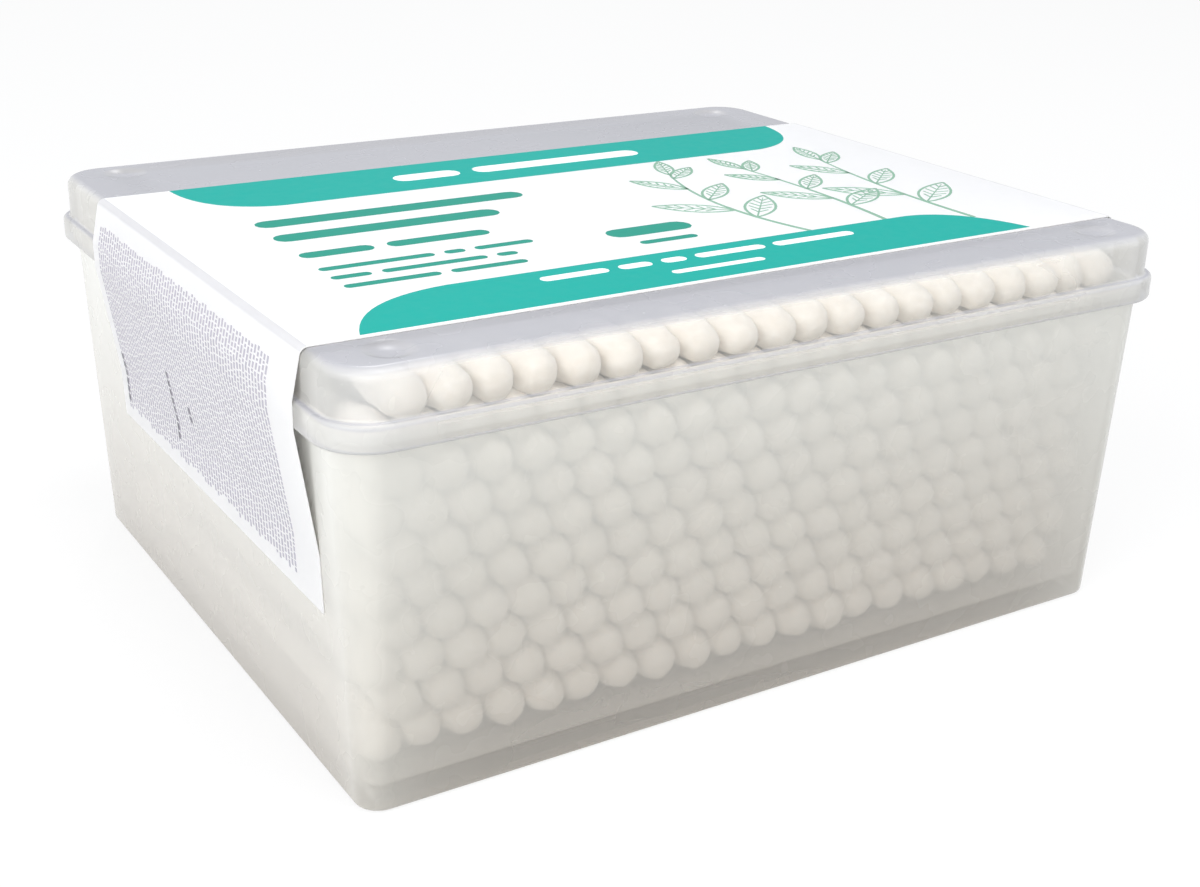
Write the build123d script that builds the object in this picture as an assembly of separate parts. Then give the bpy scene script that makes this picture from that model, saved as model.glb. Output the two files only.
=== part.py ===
from build123d import *
import os
from math import radians, sqrt, tan

# A clear plastic box of 200 cotton swabs: a tub with drafted walls, a lid that clips on, and one
# paper label that runs over the lid and down both short ends. Millimetres, Z up, X along the box.
# The origin is the centre of the base, on the surface that the box stands on.

# Swabs
SWABS_ACROSS = 20
LAYERS = 10
SWAB_LENGTH = 73.0
BUD_WIDTH = 4.58
BUD_LENGTH = 13.0
BUD_TIP = 2.3
NECK_WIDTH = 2.8
STICK_SIDE = 2.2
SWAB_CLEARANCE = 0.06
STAGGER = 0.3
STAGGER_STEPS = 4
LEAN = 3.6

# Room round the stack of swabs
SIDE_ROOM = 0.7
FRONT_ROOM = 2.0
BACK_ROOM = 3.9
FLOOR_CLEARANCE = 0.2
HEAD_ROOM = 1.2

# Tub
TUB_WALL = 0.9
TUB_FLOOR = 1.0
DRAFT = 2.0
TUB_CORNER = 2.8
TUB_BASE_CHAMFER = 0.5
FOOT_HEIGHT = 1.2
FOOT_WIDTH = 2.0
BEAD_OUT = 0.45
BEAD_HEIGHT = 1.1
BEAD_BELOW_RIM = 0.3

# Lid
LID_WALL = 0.9
LID_CROWN = 4.8
LID_LEDGE = 0.3
LID_TOP_CHAMFER = 1.2
BAND_HEIGHT = 2.8
BAND_CHAMFER = 0.6
BEAD_FIT = 0.12
SEAT_CLEARANCE = 0.05
RIB_IN = 0.4
RIB_HEIGHT = 0.4
RIB_LENGTH = 40.0
DIMPLE_WIDTH = 5.6
DIMPLE_FLOOR = 3.2
DIMPLE_DEPTH = 0.45
DIMPLE_FROM_EDGE = 7.0

# Label
LABEL_WIDTH = 60.0
LABEL_SHIFT = -4.3
LABEL_THICKNESS = 0.12
LABEL_CLEARANCE = 0.03
LABEL_FOLD = 0.8
LABEL_DROP = 26.5
LABEL_BRIDGE = 13.0

# The stack of swabs sets the room in the tub, and the tub sets the lid
PITCH = BUD_WIDTH + SWAB_CLEARANCE
LAYER_PITCH = PITCH * sqrt(3) / 2
BUD_HEIGHT = BUD_WIDTH * 2 / sqrt(3)
STACK_WIDTH = (SWABS_ACROSS - 0.5) * PITCH + BUD_WIDTH
STACK_HEIGHT = (LAYERS - 1) * LAYER_PITCH + BUD_HEIGHT
FLOOR_TOP = FOOT_HEIGHT + TUB_FLOOR
STACK_BOTTOM = FLOOR_TOP + FLOOR_CLEARANCE
LID_TOP = STACK_BOTTOM + STACK_HEIGHT + HEAD_ROOM + LID_WALL
SHOULDER_TOP = LID_TOP - LID_CROWN
RIM_TOP = SHOULDER_TOP - LID_WALL - SEAT_CLEARANCE
BAND_BOTTOM = SHOULDER_TOP - BAND_HEIGHT
FLOOR_WIDTH = STACK_WIDTH + 2 * SIDE_ROOM
FLOOR_DEPTH = SWAB_LENGTH + 2 * STAGGER + FRONT_ROOM + BACK_ROOM
STACK_Y = (FRONT_ROOM - BACK_ROOM) / 2


def draft_at(height):
    """Outward lean of the tub wall at a height above the floor's top face."""
    return (height - FLOOR_TOP) * tan(radians(DRAFT))


def tub_outline(height, grow=0.0):
    """Width, depth and corner radius of the tub's outer face at a height."""
    out = TUB_WALL + draft_at(height) + grow
    return FLOOR_WIDTH + 2 * out, FLOOR_DEPTH + 2 * out, TUB_CORNER + draft_at(height) + grow


def slab(outline, bottom, height, taper=0.0):
    """Rounded rectangle raised from a height, leaning out where the taper is negative."""
    return Pos(0, 0, bottom) * extrude(RectangleRounded(*outline), height, taper=taper)


def base_edges(solid):
    return solid.faces().sort_by(Axis.Z)[0].edges()


def top_edges(solid):
    return solid.faces().sort_by(Axis.Z)[-1].edges()


def tub():
    """Drafted tub with a foot ring, a chamfered base edge and a bead under its rim."""
    shell = slab(tub_outline(0), 0, RIM_TOP, -DRAFT)
    shell = chamfer(base_edges(shell), TUB_BASE_CHAMFER)
    bead = slab(tub_outline(RIM_TOP, BEAD_OUT), RIM_TOP - BEAD_BELOW_RIM - BEAD_HEIGHT, BEAD_HEIGHT)
    hollow = slab(tub_outline(FLOOR_TOP, -TUB_WALL), FLOOR_TOP, RIM_TOP, -DRAFT)
    recess = slab(tub_outline(0, -FOOT_WIDTH), 0, FOOT_HEIGHT)
    return shell + bead - hollow - recess


def crown_outline(grow=0.0):
    """The lid's crown, whose inner step rests on the tub's rim."""
    return tub_outline(RIM_TOP, LID_WALL - LID_LEDGE + grow)


def band_outline(grow=0.0):
    """The wider band under the crown, which runs round the tub's bead."""
    return tub_outline(RIM_TOP, BEAD_OUT + BEAD_FIT + LID_WALL + grow)


def dimple_places():
    """Four places on top of the crown, one near each corner."""
    length, depth, _ = crown_outline()
    grid = GridLocations(length - 2 * DIMPLE_FROM_EDGE, depth - 2 * DIMPLE_FROM_EDGE, 2, 2)
    return Pos(0, 0, LID_TOP) * grid


def clip_ribs():
    """One short rib inside each wall of the band, which catches under the tub's bead."""
    length, depth, _ = band_outline(-LID_WALL)
    on_long_wall = Box(RIB_LENGTH, RIB_IN, RIB_HEIGHT)
    on_short_wall = Box(RIB_IN, RIB_LENGTH, RIB_HEIGHT)
    height = BAND_BOTTOM + RIB_HEIGHT / 2
    ribs = []
    for side in (-1, 1):
        ribs.append(Pos(0, side * (depth - RIB_IN) / 2, height) * on_long_wall)
        ribs.append(Pos(side * (length - RIB_IN) / 2, 0, height) * on_short_wall)
    return ribs


def lid():
    """Crown, shoulder and band in one moulding, with ribs that clip it on and four shallow dimples."""
    crown = slab(crown_outline(), SHOULDER_TOP, LID_CROWN)
    crown = chamfer(top_edges(crown), LID_TOP_CHAMFER)
    band = slab(band_outline(), BAND_BOTTOM, BAND_HEIGHT)
    band = chamfer(base_edges(band), BAND_CHAMFER)
    room = slab(crown_outline(-LID_WALL), RIM_TOP, LID_TOP - LID_WALL - RIM_TOP)
    socket = slab(band_outline(-LID_WALL), BAND_BOTTOM, SHOULDER_TOP - LID_WALL - BAND_BOTTOM)
    body = crown + band - room - socket + clip_ribs()
    down = (Align.CENTER, Align.CENTER, Align.MAX)
    dimple = Cone(DIMPLE_FLOOR / 2, DIMPLE_WIDTH / 2, DIMPLE_DEPTH, align=down)
    return body - [place * dimple for place in dimple_places()]


def label_path(side):
    """Points on one end of the box, from the crown's edge down to the label's lower edge."""
    crown = crown_outline()[0] / 2
    band = band_outline()[0] / 2
    lower = LID_TOP - LABEL_DROP
    meets = BAND_BOTTOM - LABEL_BRIDGE
    points = [
        (crown, LID_TOP),
        (band, SHOULDER_TOP),
        (band, BAND_BOTTOM),
        (tub_outline(meets)[0] / 2, meets),
        (tub_outline(lower)[0] / 2, lower),
    ]
    return [(side * x, z) for x, z in points]


def label():
    """One sheet over the lid and both short ends, stretched over the step at the band."""
    path = label_path(-1)[::-1] + label_path(1)
    wrapped = make_face(Polyline(*path, close=True))
    wrapped = fillet(wrapped.vertices().group_by(Axis.Y)[-1], LABEL_FOLD)
    inner = offset(wrapped, LABEL_CLEARANCE, kind=Kind.INTERSECTION)
    outer = offset(wrapped, LABEL_CLEARANCE + LABEL_THICKNESS, kind=Kind.INTERSECTION)
    below = Rectangle(band_outline()[0] * 2, LID_TOP, align=(Align.CENTER, Align.MAX))
    section = outer - inner - Pos(0, LID_TOP - LABEL_DROP) * below
    return Pos(0, LABEL_SHIFT, 0) * extrude(Plane.XZ * section, LABEL_WIDTH / 2, both=True)


def polyhedron(points, faces):
    """Solid with flat faces, each given as a list of point numbers."""
    return Solid(Shell([Face(Wire.make_polygon([points[n] for n in face])) for face in faces]))


def bud():
    """Cotton bud with six flats, its tip at the origin and its neck towards +Y."""
    sides = 6
    widest = [Plane.XZ.from_local_coords((v.X, v.Y)) for v in hexagon(BUD_WIDTH)]
    neck = [Plane.XZ.from_local_coords((v.X, v.Y)) for v in hexagon(NECK_WIDTH)]
    points = [Vector(0, 0, 0)]
    points += [point + Vector(0, BUD_TIP, 0) for point in widest]
    points += [point + Vector(0, BUD_LENGTH, 0) for point in neck]
    faces = [list(range(1 + sides, 1 + 2 * sides))]
    for n in range(sides):
        a, b = 1 + n, 1 + (n + 1) % sides
        faces += [[0, b, a], [a, b, b + sides, a + sides]]
    return polyhedron(points, faces)


def hexagon(width):
    """Corners of a hexagon that stands on a point, by its width across flats."""
    return [Vector(width / sqrt(3), 0).rotate(Axis.Z, 30 + 60 * n) for n in range(6)]


def stick():
    """Plain length of the paper stick between its two buds, from neck to neck along Y."""
    length = SWAB_LENGTH - 2 * BUD_LENGTH
    return Pos(0, BUD_LENGTH + length / 2, 0) * Box(STICK_SIDE, length, STICK_SIDE)


def swab_places(layer):
    """Where the front tips of one layer's swabs lie: in the dips of the last layer, and further forward."""
    height = STACK_BOTTOM + BUD_HEIGHT / 2 + layer * LAYER_PITCH
    sideways = PITCH / 4 * (1 if layer % 2 else -1)
    front = STACK_Y - SWAB_LENGTH / 2 - layer * LAYER_PITCH * tan(radians(LEAN))
    places = []
    for n in range(SWABS_ACROSS):
        step = (3 * n + 5 * layer) % STAGGER_STEPS / (STAGGER_STEPS - 1)
        x = (n - (SWABS_ACROSS - 1) / 2) * PITCH + sideways
        places.append(Location((x, front + STAGGER * (2 * step - 1), height)))
    return places


def bud_layer(layer):
    """Both buds of every swab in a layer."""
    front = bud()
    back = Pos(0, SWAB_LENGTH, 0) * Rot(0, 0, 180) * front
    return [place * end for place in swab_places(layer) for end in (front, back)]


def stick_layer(layer):
    """The sticks of one layer."""
    shaft = stick()
    return [place * shaft for place in swab_places(layer)]


def write(name, solids):
    export_step(Compound(children=list(solids), label=name), f"parts/{name}.step")


os.makedirs("parts", exist_ok=True)
write("tub", tub().solids())
write("lid", lid().solids())
write("label", label().solids())
for layer in range(LAYERS):
    write(f"cotton_buds_layer_{layer + 1:02d}", bud_layer(layer))
    write(f"paper_sticks_layer_{layer + 1:02d}", stick_layer(layer))
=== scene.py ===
import random
from math import atan2, cos, hypot, pi, radians, sin, sqrt, tan

import bpy
from mathutils import Matrix, Vector
from mathutils.geometry import delaunay_2d_cdt

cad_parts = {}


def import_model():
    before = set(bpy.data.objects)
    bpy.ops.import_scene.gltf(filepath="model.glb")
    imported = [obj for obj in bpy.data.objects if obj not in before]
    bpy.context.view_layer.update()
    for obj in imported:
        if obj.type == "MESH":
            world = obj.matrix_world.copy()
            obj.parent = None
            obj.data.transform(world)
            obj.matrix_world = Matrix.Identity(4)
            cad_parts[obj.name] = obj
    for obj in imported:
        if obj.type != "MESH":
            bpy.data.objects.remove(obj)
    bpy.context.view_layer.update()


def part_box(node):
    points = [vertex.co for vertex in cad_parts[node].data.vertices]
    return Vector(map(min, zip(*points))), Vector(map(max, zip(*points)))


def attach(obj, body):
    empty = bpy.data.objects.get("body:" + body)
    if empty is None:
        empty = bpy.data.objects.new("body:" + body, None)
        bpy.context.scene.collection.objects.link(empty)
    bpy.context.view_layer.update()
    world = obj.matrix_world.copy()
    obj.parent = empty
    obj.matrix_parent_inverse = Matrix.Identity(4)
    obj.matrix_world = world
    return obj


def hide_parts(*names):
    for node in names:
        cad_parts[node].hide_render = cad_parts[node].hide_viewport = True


# A box of cotton swabs: frosted clear tub and lid, a printed paper label, and ten layers of swabs.
# Lengths are millimetres, and MM scales them to metres where a mesh is made.

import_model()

MM = 0.001
BODY = "root"

# Tub and lid: room on the floor, walls, and heights above the surface that the box stands on
ROOM_X, ROOM_Y, ROOM_CORNER = 48.23, 39.75, 1.9
WALL = 0.9
DRAFT = tan(radians(2.0))
RECESS_TOP, FLOOR_TOP, RIM_TOP = 1.2, 2.2, 40.204
FOOT_WIDTH = 2.0
BEAD_OUT, BEAD_BOTTOM, BEAD_TOP = 0.45, 38.804, 39.904
LID_TOP, SHOULDER_TOP, BAND_BOTTOM = 45.954, 41.154, 38.354
CROWN_OUT = 0.6
BAND_OUT = 1.47
BASE_ROUND, LID_ROUND, BAND_ROUND, INSIDE_ROUND = 0.6, 1.1, 0.45, 0.8
DIMPLE_RADIUS, DIMPLE_DEPTH = 2.8, 0.45
DIMPLE_FROM_END, DIMPLE_FROM_SIDE = 7.0, 4.7
DIMPLE_RINGS = (1.0, 32), (0.86, 32), (0.72, 24), (0.5, 16), (0.25, 8)

# Label
SHEET = 0.12
SHEET_GAP = 0.03
CREASE = 0.8
LABEL_BOTTOM = 19.454
LABEL_MEETS_WALL = 25.354

# Swabs
SWABS_ACROSS = 20
LAYERS = 10
STAGGER = 0.3
STAGGER_STEPS = 4
STICK_RADIUS = 1.2
STICK_SIDES = 14
BUD_SIDES = 22
BUD_PROFILE = [
    (0.0, 0.0), (0.06, 0.55), (0.22, 1.05), (0.5, 1.5), (0.95, 1.86), (1.6, 2.12), (2.5, 2.27), (3.7, 2.33),
    (5.2, 2.31), (6.9, 2.2), (8.5, 2.02), (10.0, 1.8), (11.4, 1.58), (12.5, 1.36), (13.0, 1.16),
]
BUD_LENGTH = BUD_PROFILE[-1][0]


# Shared helpers

def linear(red, green, blue):
    """Linear colour from 0 to 255 screen values."""
    channels = [value / 255 for value in (red, green, blue)]
    return tuple(c / 12.92 if c <= 0.04045 else ((c + 0.055) / 1.055) ** 2.4 for c in channels) + (1.0,)


def mesh_object(name, shape, material, smooth_to=None):
    """Object from (points, faces) in millimetres, with edges under an angle in degrees kept smooth."""
    points, faces = shape
    mesh = bpy.data.meshes.new(name)
    mesh.from_pydata([tuple(c * MM for c in point) for point in points], [], faces)
    mesh.validate()
    mesh.polygons.foreach_set("use_smooth", [smooth_to is not None] * len(mesh.polygons))
    if smooth_to:
        mesh.set_sharp_from_angle(angle=radians(smooth_to))
    mesh.materials.append(material)
    piece = bpy.data.objects.new(name, mesh)
    bpy.context.scene.collection.objects.link(piece)
    return piece


def add_piece(name, shape, material, replaces=None, smooth_to=None):
    """A piece of the box, on its one body."""
    piece = mesh_object(name, shape, material, smooth_to)
    if replaces:
        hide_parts(replaces)
    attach(piece, BODY)


def gather(shapes):
    """Joins (points, faces) shapes into one."""
    points, faces = [], []
    for some_points, some_faces in shapes:
        start = len(points)
        points += some_points
        faces += [tuple(start + n for n in face) for face in some_faces]
    return points, faces


def arc(centre, radius, first, last, steps=4):
    """Points on an arc in a section, angles in degrees."""
    points = []
    for n in range(steps + 1):
        turn = radians(first + (last - first) * n / steps)
        points.append((centre[0] + radius * cos(turn), centre[1] + radius * sin(turn)))
    return points


class Shader:
    """A material's node tree, with short calls to add and link nodes."""

    def __init__(self, name):
        self.material = bpy.data.materials.new(name)
        self.material.use_nodes = True
        self.tree = self.material.node_tree
        self.surface = self.tree.nodes["Principled BSDF"]
        self.output = self.tree.nodes["Material Output"]

    def add(self, kind, settings=None, **values):
        node = self.tree.nodes.new(kind)
        for key, value in (settings or {}).items():
            setattr(node, key, value)
        for key, value in values.items():
            self.set(node, key.replace("_", " "), value)
        return node

    def set(self, node, socket, value):
        """A value, or another node's output, goes into a socket."""
        target = node.inputs[int(socket)] if socket.isdigit() else node.inputs[socket]
        if isinstance(value, bpy.types.NodeSocket):
            self.tree.links.new(value, target)
        else:
            target.default_value = value

    def base(self, **values):
        for key, value in values.items():
            self.set(self.surface, key.replace("_", " "), value)

    def math(self, operation, a, b=0.0):
        node = self.add("ShaderNodeMath", {"operation": operation})
        self.set(node, "0", a)
        self.set(node, "1", b)
        return node.outputs[0]

    def parts(self, vector):
        """The x, y and z of a vector."""
        return self.add("ShaderNodeSeparateXYZ", Vector=vector).outputs

    def place(self):
        return self.add("ShaderNodeTexCoord").outputs["Object"]

    def normal(self):
        return self.add("ShaderNodeNewGeometry").outputs["Normal"]

    def noise(self, scale, detail=3.0, stretch=(1.0, 1.0, 1.0)):
        """Noise in object space, with its scale per metre."""
        mapping = self.add("ShaderNodeMapping", Vector=self.place(), Scale=stretch)
        texture = self.add("ShaderNodeTexNoise", Vector=mapping.outputs[0], Scale=scale, Detail=detail)
        return texture.outputs[0]

    def span(self, value, low, high):
        """A 0 to 1 value spread over a range."""
        return self.add("ShaderNodeMapRange", Value=value, To_Min=low, To_Max=high).outputs[0]

    def bump(self, height, distance_mm, strength=1.0):
        node = self.add("ShaderNodeBump", Height=height, Distance=distance_mm * MM, Strength=strength)
        self.set(self.surface, "Normal", node.outputs[0])

    def blend(self, value, first, second):
        """Colour between two others."""
        node = self.add("ShaderNodeMix", {"data_type": "RGBA"})
        self.set(node, "0", value)
        self.set(node, "6", first)
        self.set(node, "7", second)
        return node.outputs[2]


# Materials

CORNER_X, CORNER_Y = 50.0, 41.5
MOST_COVER = 0.97


def at_corners(shader, x, y):
    """1 at the four upright corners, falling off along the walls."""
    near_end = shader.math("POWER", shader.math("DIVIDE", shader.math("ABSOLUTE", x), CORNER_X * MM), 6)
    near_side = shader.math("POWER", shader.math("DIVIDE", shader.math("ABSOLUTE", y), CORNER_Y * MM), 10)
    return shader.math("MINIMUM", shader.math("MULTIPLY", near_end, near_side), 1.0)


def plastic(name, heights, tints, clear, edge, rise, corner, flat, shade):
    """Frosted plastic, which covers a share of what is behind it.

    The share is clear where it is seen face on, and edge where it is seen edge on. It grows by rise from
    the lower height to the upper one, by corner at the corners and by flat on level faces. Shade is what
    is left of it for light on its way through. The tints are low down, high up, at corners and on level faces,
    and paint shade into the colour.
    """
    shader = Shader(name)
    x, y, z = shader.parts(shader.place())
    low, high = (height * MM for height in heights)
    height = shader.add("ShaderNodeMapRange", Value=z, From_Min=low, From_Max=high).outputs[0]
    corners = at_corners(shader, x, y)
    level = shader.math("POWER", shader.math("ABSOLUTE", shader.parts(shader.normal())[2]), 4)
    facing = shader.add("ShaderNodeLayerWeight", Blend=0.5).outputs["Facing"]
    cover = shader.span(shader.math("POWER", facing, 2), clear, edge)
    for share, most in ((height, rise), (corners, corner), (level, flat)):
        cover = shader.math("ADD", cover, shader.math("MULTIPLY", share, most))
    cover = shader.math("MINIMUM", cover, MOST_COVER)
    seen = shader.add("ShaderNodeLightPath").outputs["Is Camera Ray"]
    cover = shader.math("MULTIPLY", cover, shader.span(seen, shade, 1.0))
    # Painted shade: the tint follows height, corners and level faces, as the tints give.
    tint = shader.blend(corners, shader.blend(height, tints[0], tints[1]), tints[2])
    shader.base(Base_Color=shader.blend(level, tint, tints[3]), Alpha=cover, IOR=1.49)
    shader.base(Roughness=shader.span(shader.noise(200, 2), 0.22, 0.32))
    shader.bump(shader.noise(14, 1), 0.2, 0.15)
    return shader.material


def cotton():
    """Wound cotton: white, matt and fuzzy, with soft strands that run round the bud."""
    shader = Shader("cotton")
    strands = shader.noise(800, 5, (1.0, 0.3, 1.0))
    shader.base(Base_Color=shader.blend(strands, linear(230, 219, 205), linear(252, 247, 239)))
    shader.base(Roughness=0.95, Sheen_Weight=0.4, Sheen_Roughness=0.6)
    shader.base(Subsurface_Weight=0.2, Subsurface_Radius=(1.0, 0.9, 0.8), Subsurface_Scale=1.2 * MM)
    shader.bump(strands, 0.2, 0.8)
    return shader.material


def stick_paper():
    """Rolled white paper with a faint grain along the stick."""
    shader = Shader("stick_paper")
    grain = shader.noise(1400, 3, (1.0, 0.08, 1.0))
    shader.base(Base_Color=shader.blend(grain, linear(232, 226, 214), linear(249, 246, 240)), Roughness=0.7)
    shader.bump(grain, 0.05, 0.5)
    return shader.material


# Painted shade: the grey laid into the label's colour where it turns down over the lid's edges.
FOLD_SHADE_GREY = linear(150, 149, 155)


def at_folds(shader):
    """1 where the sheet turns down over the lid's edge, 0 on its flat top and its upright ends: where painted
    shade goes.
    """
    across, _, up = (shader.math("ABSOLUTE", part) for part in shader.parts(shader.normal()))
    turned_down = shader.add("ShaderNodeMapRange", Value=across, From_Min=0.06, From_Max=0.15)
    not_upright = shader.add("ShaderNodeMapRange", Value=up, From_Min=0.3, From_Max=0.6)
    return shader.math("MULTIPLY", turned_down.outputs[0], not_upright.outputs[0])


def coated_paper(name, colour, soft=0.0, fold_shade=0.0):
    """Smooth coated paper, or ink on it. Soft paper lets light through, and at the folds a grey is painted in
    as shade.
    """
    shader = Shader(name)
    shader.base(Subsurface_Weight=soft, Subsurface_Radius=(1.0, 1.0, 0.95), Subsurface_Scale=0.6 * MM)
    fibre = shader.noise(700, 4)
    dark = tuple(c * 0.965 for c in colour[:3]) + (1.0,)
    tint = shader.blend(fibre, dark, colour)
    # Painted shade: grey at the folds, by the fold shade share.
    tint = shader.blend(shader.math("MULTIPLY", at_folds(shader), fold_shade), tint, FOLD_SHADE_GREY)
    shader.base(Base_Color=tint, Specular_IOR_Level=0.08)
    shader.base(Roughness=shader.span(fibre, 0.37, 0.5))
    shader.bump(fibre, 0.02, 0.4)
    return shader.material


# Tints of the plastic: low down, high up, at corners and on level faces. They paint shade into the colour. On
# the tub the tint is darker low down and on level faces such as the floor, where shade falls, and at the
# corners one tint takes the place of that gradient. On the lid the level faces get painted shade, a grey for
# the dark inside seen through the top.
TUB_PAINTED_SHADE_TINTS = linear(226, 221, 214), linear(248, 249, 245), linear(231, 230, 224), linear(216, 211, 203)
LID_PAINTED_SHADE_TINTS = linear(231, 230, 227), linear(233, 232, 227), linear(226, 226, 225), linear(184, 184, 190)
TUB_PLASTIC = plastic("tub_plastic", (0.0, RIM_TOP), TUB_PAINTED_SHADE_TINTS, 0.2, 1.0, 0.27, 0.35, 0.0, 0.7)
LID_PLASTIC = plastic("lid_plastic", (BAND_BOTTOM, LID_TOP), LID_PAINTED_SHADE_TINTS, 0.11, 0.9, 0.08, 0.3, 0.22, 0.25)
COTTON = cotton()
STICK_PAPER = stick_paper()
LABEL_PAPER = coated_paper("label_paper", linear(252, 252, 253), soft=0.5, fold_shade=0.5)
TEAL_INK = coated_paper("teal_ink", linear(8, 169, 158))
GREEN_INK = coated_paper("green_ink", linear(36, 150, 132))
SPRIG_INK = coated_paper("sprig_ink", linear(140, 180, 158))
WHITE_INK = coated_paper("white_ink", linear(254, 254, 254))
GREY_INK = coated_paper("grey_ink", linear(188, 184, 196))
DARK_INK = coated_paper("dark_ink", linear(132, 130, 138))


# Tub and lid

CORNER_STEPS = 10


def ring(out, height):
    """Rounded rectangle at a distance outside the tub's inner floor line."""
    radius = max(ROOM_CORNER + out, 0.2)
    points = []
    for sx, sy, first in ((1, 1, 0), (-1, 1, 90), (-1, -1, 180), (1, -1, 270)):
        centre_x, centre_y = sx * (ROOM_X + out - radius), sy * (ROOM_Y + out - radius)
        for n in range(CORNER_STEPS + 1):
            turn = radians(first + 90 * n / CORNER_STEPS)
            points.append((centre_x + radius * cos(turn), centre_y + radius * sin(turn), height))
    return points


def wall_out(height):
    """How far the tub's outer face leans outside the inner floor line."""
    return WALL + (height - FLOOR_TOP) * DRAFT


def turned(section, first_cap=True, last_cap=True):
    """A section of (out, height) points carried round the box, with flat faces over its ends."""
    rings = [ring(out, height) for out, height in section]
    size = len(rings[0])
    points = [point for each in rings for point in each]
    faces = []
    for n in range(len(rings) - 1):
        for m in range(size):
            k = (m + 1) % size
            faces.append((n * size + m, n * size + k, (n + 1) * size + k, (n + 1) * size + m))
    if first_cap:
        faces.append(tuple(range(size - 1, -1, -1)))
    if last_cap:
        faces.append(tuple(range((len(rings) - 1) * size, len(rings) * size)))
    return points, faces


def tub_section():
    """From the recess under the floor, round the foot, up the wall, over the rim and down inside."""
    edge = wall_out(0)
    rim = wall_out(RIM_TOP)
    inner = edge - FOOT_WIDTH
    return [
        (inner, RECESS_TOP), (inner, 0.15), (inner + 0.15, 0.0),
        *arc((edge - BASE_ROUND, BASE_ROUND), BASE_ROUND, -90, 0),
        (wall_out(BEAD_BOTTOM), BEAD_BOTTOM), (rim + BEAD_OUT, BEAD_BOTTOM + 0.1),
        (rim + BEAD_OUT, BEAD_TOP - 0.1), (rim, BEAD_TOP), (rim, RIM_TOP - 0.1), (rim - 0.15, RIM_TOP),
        (rim - WALL + 0.15, RIM_TOP), (rim - WALL, RIM_TOP - 0.1),
        *arc((wall_out(FLOOR_TOP + INSIDE_ROUND) - WALL - INSIDE_ROUND, FLOOR_TOP + INSIDE_ROUND),
             INSIDE_ROUND, 0, -90),
    ]


def lid_section():
    """From the top edge, down the crown, out over the band, round its lower edge and up inside."""
    crown = wall_out(RIM_TOP) + CROWN_OUT
    band = wall_out(RIM_TOP) + BAND_OUT
    under = SHOULDER_TOP - WALL
    ceiling = LID_TOP - WALL
    return [
        *arc((crown - LID_ROUND, LID_TOP - LID_ROUND), LID_ROUND, 90, 0, 6),
        *arc((crown + 0.3, SHOULDER_TOP + 0.3), 0.3, 180, 270, 3),
        *arc((band - BAND_ROUND, SHOULDER_TOP - BAND_ROUND), BAND_ROUND, 90, 0, 3),
        *arc((band - BAND_ROUND, BAND_BOTTOM + BAND_ROUND), BAND_ROUND, 0, -90, 3),
        (band - WALL, BAND_BOTTOM + 0.05), (band - WALL, under), (crown - WALL, under),
        *arc((crown - WALL - INSIDE_ROUND, ceiling - INSIDE_ROUND), INSIDE_ROUND, 0, 90),
    ]


def lid_top():
    """The crown's flat top, with a shallow dimple near each corner."""
    flat = wall_out(RIM_TOP) + CROWN_OUT - LID_ROUND
    outline = [(x, y) for x, y, _ in ring(flat, 0)]
    crown = wall_out(RIM_TOP) + CROWN_OUT
    centre_x, centre_y = ROOM_X + crown - DIMPLE_FROM_END, ROOM_Y + crown - DIMPLE_FROM_SIDE
    centres = [(sx * centre_x, sy * centre_y) for sx in (-1, 1) for sy in (-1, 1)]
    spots = list(outline)
    for x, y in centres:
        for share, count in DIMPLE_RINGS:
            radius = DIMPLE_RADIUS * share
            spots += [(x + radius * cos(2 * pi * n / count), y + radius * sin(2 * pi * n / count))
                      for n in range(count)]
    rim = [(n, (n + 1) % len(outline)) for n in range(len(outline))]
    found = delaunay_2d_cdt([Vector(spot) for spot in spots], rim, [], 1, 1e-5)
    points = []
    for spot in found[0]:
        near = min(hypot(spot.x - x, spot.y - y) for x, y in centres) / DIMPLE_RADIUS
        dip = 0.5 + 0.5 * cos(pi * min(near, 1.0) ** 2)
        points.append((spot.x, spot.y, LID_TOP - DIMPLE_DEPTH * dip))
    return points, [tuple(face) for face in found[2]]


def welded(shape):
    """The shape with points that lie together made one."""
    places, points, where = {}, [], []
    for point in shape[0]:
        key = tuple(round(c, 3) for c in point)
        if key not in places:
            places[key] = len(points)
            points.append(point)
        where.append(places[key])
    return points, [tuple(where[n] for n in face) for face in shape[1]]


add_piece("clear_tub", turned(tub_section()), TUB_PLASTIC, "tub", 40)
add_piece("clear_lid", welded(gather([turned(lid_section(), first_cap=False), lid_top()])),
          LID_PLASTIC, "lid", 40)


# Swabs

def layer_places(layer):
    """Front tip of each swab in a layer, from the box of that layer's buds, and the swabs' length."""
    low, high = (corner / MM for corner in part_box(f"cotton_buds_layer_{layer + 1:02d}"))
    bud_width = (high.z - low.z) * sqrt(3) / 2
    pitch = (high.x - low.x - bud_width) / (SWABS_ACROSS - 1)
    length = high.y - low.y - 2 * STAGGER
    places = []
    for n in range(SWABS_ACROSS):
        step = (3 * n + 5 * layer) % STAGGER_STEPS / (STAGGER_STEPS - 1)
        front = low.y + 2 * STAGGER * step
        places.append(Vector((low.x + bud_width / 2 + n * pitch, front, (low.z + high.z) / 2)))
    return places, length


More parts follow.
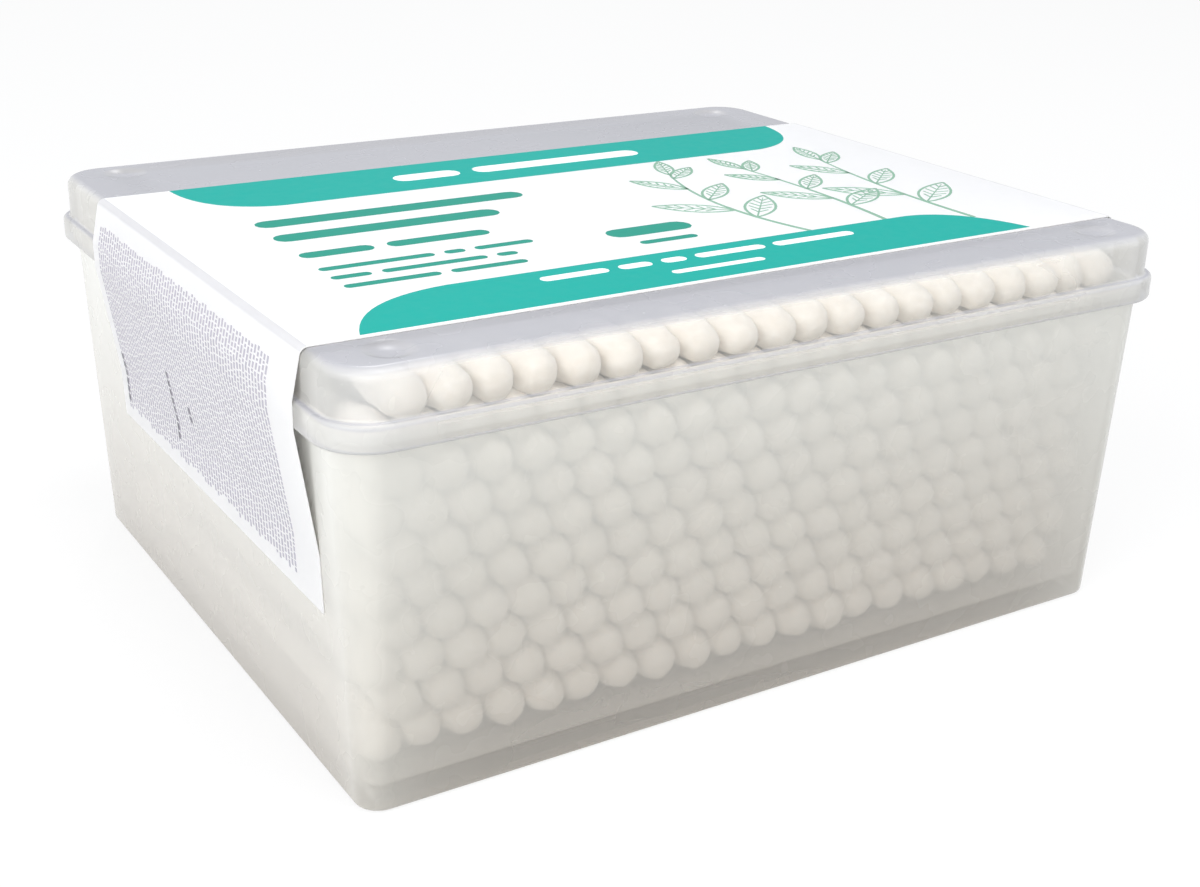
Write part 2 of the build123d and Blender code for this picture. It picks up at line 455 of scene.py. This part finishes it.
def bud_shape(rng):
    """Points and faces of one lumpy bud along +Y, its tip at the origin."""
    phase = [rng.uniform(0, 2 * pi) for _ in range(4)]
    lean = rng.uniform(-0.03, 0.03), rng.uniform(-0.03, 0.03)
    swell = rng.uniform(0.985, 1.015)
    points = [(0.0, 0.0, 0.0)]
    for along, radius in BUD_PROFILE[1:]:
        for n in range(BUD_SIDES):
            turn = 2 * pi * n / BUD_SIDES
            lump = 0.04 * sin(2 * turn + phase[0]) + 0.03 * sin(3 * turn + 1.1 * along + phase[1])
            wound = 0.025 * sin(4 * turn - 1.9 * along + phase[2]) + 0.03 * sin(0.9 * along + phase[3])
            r = radius * (swell + (lump + wound) * min(1.0, 0.3 + along))
            r += rng.uniform(-0.02, 0.02)
            points.append((r * cos(turn) + lean[0] * along, along, r * sin(turn) + lean[1] * along))
    rings = len(BUD_PROFILE) - 1
    faces = [(0, 1 + n, 1 + (n + 1) % BUD_SIDES) for n in range(BUD_SIDES)]
    for each in range(rings - 1):
        start = 1 + each * BUD_SIDES
        for n in range(BUD_SIDES):
            m = (n + 1) % BUD_SIDES
            faces.append((start + n, start + BUD_SIDES + n, start + BUD_SIDES + m, start + m))
    faces.append(tuple(1 + (rings - 1) * BUD_SIDES + n for n in range(BUD_SIDES)))
    return points, faces


def stick_shape(length):
    """Points and faces of a stick along +Y, from the origin."""
    points = []
    for along in (0.0, length):
        for n in range(STICK_SIDES):
            turn = 2 * pi * n / STICK_SIDES
            points.append((STICK_RADIUS * cos(turn), along, STICK_RADIUS * sin(turn)))
    faces = [tuple(range(STICK_SIDES - 1, -1, -1)), tuple(range(STICK_SIDES, 2 * STICK_SIDES))]
    for n in range(STICK_SIDES):
        m = (n + 1) % STICK_SIDES
        faces.append((n, m, STICK_SIDES + m, STICK_SIDES + n))
    return points, faces


def placed(shape, place, far_end=0.0):
    """A shape moved to a place, or turned back to front at a far end."""
    points, faces = shape
    if far_end:
        return [(place.x - x, place.y + far_end - y, place.z + z) for x, y, z in points], faces
    return [(place.x + x, place.y + y, place.z + z) for x, y, z in points], faces


def swab_layer(layer):
    """Replaces a layer's buds and sticks by round, lumpy ones."""
    rng = random.Random(100 + layer)
    places, length = layer_places(layer)
    buds, sticks = [], []
    for place in places:
        buds.append(placed(bud_shape(rng), place))
        buds.append(placed(bud_shape(rng), place, length))
        sticks.append(placed(stick_shape(length - 2 * BUD_LENGTH), place + Vector((0, BUD_LENGTH, 0))))
    number = f"{layer + 1:02d}"
    add_piece(f"buds_{number}", gather(buds), COTTON, f"cotton_buds_layer_{number}", 180)
    sticks = gather(sticks)
    add_piece(f"sticks_{number}", sticks, STICK_PAPER, f"paper_sticks_layer_{number}", 60)


for layer in range(LAYERS):
    swab_layer(layer)


# Label

label_low, label_high = (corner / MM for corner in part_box("label"))
LABEL_FRONT, LABEL_BACK = label_low.y, label_high.y
CROWN_X = ROOM_X + wall_out(RIM_TOP) + CROWN_OUT
BAND_X = ROOM_X + wall_out(RIM_TOP) + BAND_OUT
SHEET_STEPS = 24
CREASE_STEPS = 5
INK = 0.02
RISE_STEP, RISE_TURNS = 0.002, 7
PRINT_TOP = LID_TOP + SHEET_GAP + SHEET


def end_path():
    """The label's way down one end, from the crown's edge, as points (x, z)."""
    return [
        *arc((CROWN_X - CREASE, LID_TOP - CREASE), CREASE, 90, 8, CREASE_STEPS),
        (BAND_X, SHOULDER_TOP), (BAND_X, BAND_BOTTOM),
        (ROOM_X + wall_out(LABEL_MEETS_WALL), LABEL_MEETS_WALL),
        (ROOM_X + wall_out(LABEL_BOTTOM), LABEL_BOTTOM),
    ]


def raised(path, distance):
    """The path moved to its left side, with its corners kept."""
    moved = []
    for n, (x, z) in enumerate(path):
        before, after = path[max(n - 1, 0)], path[min(n + 1, len(path) - 1)]
        first = atan2(z - before[1], x - before[0]) if n else atan2(after[1] - z, after[0] - x)
        second = atan2(after[1] - z, after[0] - x) if n < len(path) - 1 else first
        middle = (first + second) / 2 + pi / 2
        reach = distance / max(cos((second - first) / 2), 0.5)
        moved.append((x + reach * cos(middle), z + reach * sin(middle)))
    return moved


def sheet():
    """The whole label as one thin closed sheet, from its lower left edge over the lid to the right."""
    right = end_path()
    path = [(-x, z) for x, z in reversed(right)] + right
    upper, lower = raised(path, SHEET_GAP + SHEET), raised(path, SHEET_GAP)
    section = upper + lower[::-1]
    size = len(section)
    points, faces = [], []
    for step in range(SHEET_STEPS + 1):
        y = LABEL_FRONT + (LABEL_BACK - LABEL_FRONT) * step / SHEET_STEPS
        points += [(x, y, z) for x, z in section]
    for step in range(SHEET_STEPS):
        for n in range(size):
            m = (n + 1) % size
            faces.append((step * size + n, step * size + m, (step + 1) * size + m, (step + 1) * size + n))
    last = SHEET_STEPS * size
    half = size // 2
    for n in range(half - 1):
        faces.append((n, size - 1 - n, size - 2 - n, n + 1))
        faces.append((last + n, last + n + 1, last + size - 2 - n, last + size - 1 - n))
    return points, faces


add_piece("label_sheet", sheet(), LABEL_PAPER, "label", 25)


# Print on the label: plain fields, bars in place of words, and sprigs

def plate(outline, rise):
    """A printed shape on top of the label as a very thin plate, from (x, y) points."""
    size = len(outline)
    low, high = PRINT_TOP, PRINT_TOP + rise
    points = [(x, y, z) for z in (low, high) for x, y in outline]
    faces = [tuple(range(size - 1, -1, -1)), tuple(range(size, 2 * size))]
    faces += [(n, (n + 1) % size, size + (n + 1) % size, size + n) for n in range(size)]
    return points, faces


def print_piece(name, outlines, material, rise=INK):
    """Printed shapes in one ink, in turn a little higher, so that none that cross lie in one plane."""
    plates = [plate(outline, rise + RISE_STEP * (n % RISE_TURNS)) for n, outline in enumerate(outlines)]
    add_piece(name, gather(plates), material)


def curve(start, bend, end, steps=14):
    """Points of a quadratic curve, without its last point."""
    points = []
    for n in range(steps):
        t = n / steps
        points.append(tuple(
            (1 - t) ** 2 * a + 2 * t * (1 - t) * b + t * t * c for a, b, c in zip(start, bend, end)
        ))
    return points


def bar(x, y, length, height):
    """Rounded bar that starts at x, with its middle at y."""
    r = height / 2
    points = []
    for centre, first in ((x + length - r, -90), (x + r, 90)):
        points += arc((centre, y), r, first, first + 180, 6)
    return points


def word_bars(x, y, height, lengths, gap):
    """A row of plain bars in place of words."""
    bars = []
    for length in lengths:
        bars.append(bar(x, y, length, height))
        x += length + gap
    return bars


def back_band():
    """Field along the back edge, with two swept ends."""
    back, inner = LABEL_BACK - 0.05, 13.4
    outline = curve((-42.6, back), (-42.4, 15.0), (-33.5, inner))
    outline += [(-33.5, inner), (35.0, inner)]
    outline += curve((35.0, inner), (44.0, inner + 1.6), (45.2, back))
    return outline + [(45.2, back)]


def front_band():
    """Field along the front edge, with two swept ends."""
    front, inner = LABEL_FRONT + 0.6, -23.4
    outline = curve((38.2, front), (35.6, -24.0), (28.5, inner))
    outline += [(28.5, inner), (-31.0, inner)]
    outline += curve((-31.0, inner), (-41.6, -24.2), (-45.0, front))
    return outline + [(-45.0, front)]


def stroke(points, width, taper=1.0):
    """A line drawn as short plates, thinner towards its end where tapered."""
    shapes = []
    for n in range(len(points) - 1):
        (ax, ay), (bx, by) = points[n], points[n + 1]
        run = max(hypot(bx - ax, by - ay), 1e-6)
        nx, ny = -(by - ay) / run, (bx - ax) / run
        first = width / 2 * (1 - (1 - taper) * n / (len(points) - 1))
        second = width / 2 * (1 - (1 - taper) * (n + 1) / (len(points) - 1))
        shapes.append([(ax - nx * first, ay - ny * first), (bx - nx * second, by - ny * second),
                       (bx + nx * second, by + ny * second), (ax + nx * first, ay + ny * first)])
    return shapes


def leaf(x, y, heading, length, width):
    """Outline of a pointed leaf with a midrib and side veins, heading in degrees."""
    turn = radians(heading)

    def spot(along, across):
        return (x + along * cos(turn) - across * sin(turn), y + along * sin(turn) + across * cos(turn))

    shapes = []
    for side in (-1, 1):
        edge = curve(spot(0, 0), spot(length * 0.45, side * width), spot(length, 0), 9) + [spot(length, 0)]
        shapes += stroke(edge, 0.32)
        for n in range(1, 6):
            along = length * (0.1 + 0.13 * n)
            across = side * width * 0.42 * (1 - abs(n - 2.5) / 4.5)
            shapes += stroke([spot(along, 0), spot(along + length * 0.12, across)], 0.2)
    return shapes + stroke([spot(0, 0), spot(length * 0.9, 0)], 0.22, 0.4)


def sprig(x, y, heading, bend, length, leaves):
    """A curved stem with leaves in turn on its two sides."""
    turn, over = radians(heading), radians(heading + bend)
    middle = (x + length * 0.5 * cos(turn), y + length * 0.5 * sin(turn))
    tip = (middle[0] + length * 0.5 * cos(over), middle[1] + length * 0.5 * sin(over))
    stem = curve((x, y), middle, tip, 16) + [tip]
    shapes = stroke(stem, 0.6, 0.4)
    for n in range(leaves):
        spot = stem[4 + n * 11 // max(leaves - 1, 1)]
        side = 1 if n % 2 else -1
        lean = heading + bend * (n + 1) / (leaves + 1)
        size = length * (0.34 - 0.03 * n)
        shapes += leaf(*spot, lean + side * (52 - 4 * n), size, size * 0.34)
    return shapes + leaf(*tip, heading + bend, length * 0.24, length * 0.07)


# Rows of bars, each with its start, its middle line, the bars' height and lengths, and the gap between them
WHITE_ROWS = [
    (-16.5, 19.3, 3.0, (9.0, 24.5), 2.0),
    (-22.0, -26.3, 1.5, (8.0, 4.0, 3.0, 9.0, 11.0), 1.3),
    (-8.7, -30.2, 1.1, (11.7,), 1.0),
]
GREEN_ROWS = [
    (-39.5, 6.1, 2.9, (33.5,), 1.6),
    (-39.8, -0.1, 2.9, (27.3,), 1.6),
    (-39.9, -7.4, 2.1, (8.4, 12.2), 1.6),
    (-40.1, -12.9, 1.2, (13.0, 2.4, 7.0), 1.2),
    (-40.2, -16.2, 1.2, (4.4, 12.0, 2.4), 1.2),
    (-40.2, -19.4, 1.2, (10.6, 8.8), 1.2),
    (-6.9, -14.8, 3.2, (10.9,), 1.6),
    (-5.4, -19.2, 1.2, (7.4,), 1.2),
]
# Sprigs, each with its foot, its heading, how far it bends, its length and its leaves
SPRIGS = [
    (14.5, -23.4, 108, -40, 31.5, 5),
    (25.5, -23.4, 82, 14, 28.5, 5),
    (35.6, -27.4, 92, -14, 32.5, 5),
]

print_piece("teal_fields", [back_band(), front_band()], TEAL_INK)
print_piece("white_bars", [each for row in WHITE_ROWS for each in word_bars(*row)], WHITE_INK, 2 * INK)
print_piece("green_bars", [each for row in GREEN_ROWS for each in word_bars(*row)], GREEN_INK)
print_piece("sprigs", [line for each in SPRIGS for line in sprig(*each)], SPRIG_INK)


# Small print on the two ends of the label

def down_path(side, distance, lift):
    """The point on one end of the label at a distance down from the crown's edge, lifted off it."""
    path = raised(end_path()[CREASE_STEPS:], SHEET_GAP + SHEET + lift)
    for (ax, az), (bx, bz) in zip(path, path[1:]):
        run = hypot(bx - ax, bz - az)
        if distance <= run or (bx, bz) == path[-1]:
            share = distance / run
            return side * (ax + (bx - ax) * share), az + (bz - az) * share
        distance -= run
    return None


def end_mark(side, y, width, top, length):
    """A thin upright mark on one end, bent where the label bends."""
    stops = [top + length * n / 3 for n in range(4)]
    near = [down_path(side, stop, 0.0) for stop in stops]
    proud = [down_path(side, stop, INK) for stop in stops]
    points = []
    for some in (near, proud):
        for x, z in some:
            points += [(x, y, z), (x, y + width, z)]
    faces = []
    for n in range(3):
        a, b = 2 * n, 8 + 2 * n
        faces += [(b, b + 1, b + 3, b + 2), (a, a + 2, a + 3, a + 1)]
        faces += [(a, b, b + 2, a + 2), (a + 1, a + 3, b + 3, b + 1)]
    return points, faces + [(0, 1, 9, 8), (6, 14, 15, 7)]


PRINT_COLUMNS = 66
COLUMN_PITCH = 0.79
COLUMN_WIDTH = 0.38
PRINT_DOWN = 1.6, 24.6
DASH_LENGTH, DASH_GAP = (0.22, 0.85), (0.13, 0.22)
RAGGED_ENDS = 0.0, 0.0, 0.0, 0.05, 0.1, 0.15
HEAD_WIDTH, HEAD_LENGTH, HEAD_PITCH = 0.7, 0.75, 1.05
# Heavier dashes in place of heads: across the end, down from the top, and how many
HEADS = (4.6, 14.0, 8), (-1.2, 16.4, 2), (22.9, 17.6, 6)


def small_print(side, seed):
    """Columns of short grey dashes, as lines of small print stand on end."""
    rng = random.Random(seed)
    marks = []
    for column in range(PRINT_COLUMNS):
        y = LABEL_BACK - 2.2 - column * COLUMN_PITCH
        top = PRINT_DOWN[0] + rng.uniform(0.0, 0.4)
        end = PRINT_DOWN[1] - rng.choice(RAGGED_ENDS)
        while top < end - 0.5:
            length = min(rng.uniform(*DASH_LENGTH), end - top)
            marks.append(end_mark(side, y - COLUMN_WIDTH, COLUMN_WIDTH, top, length))
            top += length + rng.uniform(*DASH_GAP)
    return marks


for side, name in ((-1, "left"), (1, "right")):
    add_piece(f"small_print_{name}", gather(small_print(side, 7 + side)), GREY_INK)
    heads = [end_mark(side, y, HEAD_WIDTH, top + HEAD_PITCH * n, HEAD_LENGTH)
             for y, top, count in HEADS for n in range(count)]
    add_piece(f"print_heads_{name}", gather(heads), DARK_INK)


# Camera

CAMERA_PLACE = (-0.1037, -0.16708, 0.09462)
CAMERA_HEADING, CAMERA_DIP, CAMERA_ROLL = radians(32.358), radians(22.079), radians(1.394)
FOCAL_PIXELS, PHOTO_WIDTH, SENSOR = 1689.8, 1200.0, 36.0


def camera():
    """The photograph's view, rolled a little."""
    data = bpy.data.cameras.new("camera")
    data.sensor_width = SENSOR
    data.lens = FOCAL_PIXELS / PHOTO_WIDTH * SENSOR
    data.clip_start = 0.01
    level_part = cos(CAMERA_DIP)
    ahead = Vector((sin(CAMERA_HEADING) * level_part, cos(CAMERA_HEADING) * level_part, -sin(CAMERA_DIP)))
    level = ahead.cross(Vector((0, 0, 1))).normalized()
    upright = level.cross(ahead)
    right = level * cos(CAMERA_ROLL) + upright * sin(CAMERA_ROLL)
    top = upright * cos(CAMERA_ROLL) - level * sin(CAMERA_ROLL)
    turn = Matrix((right, top, -ahead)).transposed()
    lens = bpy.data.objects.new("camera", data)
    lens.matrix_world = Matrix.Translation(CAMERA_PLACE) @ turn.to_4x4()
    bpy.context.scene.collection.objects.link(lens)
    bpy.context.scene.camera = lens


camera()


# Floor, world and lamps

def floor():
    """Pale floor with a soft shadow, mostly plain white to the eye, with painted shade, a dark warm colour,
    where it is seen through the frosted plastic.
    """
    half, below, white_share = 4000.0, -0.05, 0.8
    shader = Shader("floor")
    path = shader.add("ShaderNodeLightPath")
    seen = shader.math("MAXIMUM", path.outputs["Is Camera Ray"], path.outputs["Is Glossy Ray"])
    seen = shader.math("MAXIMUM", seen, path.outputs["Is Transmission Ray"])
    behind = shader.math("MINIMUM", path.outputs["Transparent Depth"], 1.0)
    pale = shader.blend(seen, (0.5, 0.5, 0.49, 1), (0.9, 0.9, 0.9, 1))
    # Painted shade: the floor seen through the plastic is a dark warm colour, for the shade under the box.
    shader.base(Base_Color=shader.blend(behind, pale, (0.22, 0.2, 0.165, 1)))
    shader.base(Roughness=0.9, Specular_IOR_Level=0.0)
    seen = shader.math("MAXIMUM", shader.math("SUBTRACT", seen, behind), 0.0)
    glow = shader.add("ShaderNodeEmission", Color=(1, 1, 1, 1), Strength=1.0)
    mix = shader.add("ShaderNodeMixShader")
    shader.set(mix, "0", shader.math("MULTIPLY", seen, white_share))
    shader.set(mix, "1", shader.surface.outputs[0])
    shader.set(mix, "2", glow.outputs[0])
    shader.set(shader.output, "Surface", mix.outputs[0])
    corners = [(x, y, below) for x, y in ((-half, -half), (half, -half), (half, half), (-half, half))]
    mesh_object("floor", (corners, [(0, 1, 2, 3)]), shader.material)


def world():
    """Soft light from all round, plain white where the camera sees it."""
    surround = bpy.data.worlds.new("surround")
    bpy.context.scene.world = surround
    surround.use_nodes = True
    tree = surround.node_tree
    lit = tree.nodes["Background"]
    lit.inputs["Color"].default_value = (0.95, 0.97, 1.0, 1)
    lit.inputs["Strength"].default_value = 0.6
    white = tree.nodes.new("ShaderNodeBackground")
    white.inputs["Color"].default_value = (1, 1, 1, 1)
    mix = tree.nodes.new("ShaderNodeMixShader")
    path = tree.nodes.new("ShaderNodeLightPath")
    tree.links.new(path.outputs["Is Camera Ray"], mix.inputs[0])
    tree.links.new(lit.outputs[0], mix.inputs[1])
    tree.links.new(white.outputs[0], mix.inputs[2])
    tree.links.new(mix.outputs[0], tree.nodes["World Output"].inputs["Surface"])


def lamp(name, place, size, watts):
    """Square soft light that faces the box."""
    data = bpy.data.lights.new(name, "AREA")
    data.size = size
    data.energy = watts
    light = bpy.data.objects.new(name, data)
    light.location = place
    light.rotation_euler = (Vector((0, 0, 0.02)) - Vector(place)).to_track_quat("-Z", "Y").to_euler()
    bpy.context.scene.collection.objects.link(light)


# Name, place, side length and power of each lamp, in metres and watts
LAMPS = [
    ("key", (-0.75, -0.3, 0.55), 0.5, 4.9),
    ("top", (0.1, -0.3, 0.9), 0.4, 3.0),
    ("front", (-0.3, -0.5, 0.25), 0.25, 0.95),
    ("back", (0.35, 0.75, 0.75), 0.12, 0.8),
]

floor()
world()
for each in LAMPS:
    lamp(*each)

bpy.context.scene.view_settings.view_transform = "Standard"
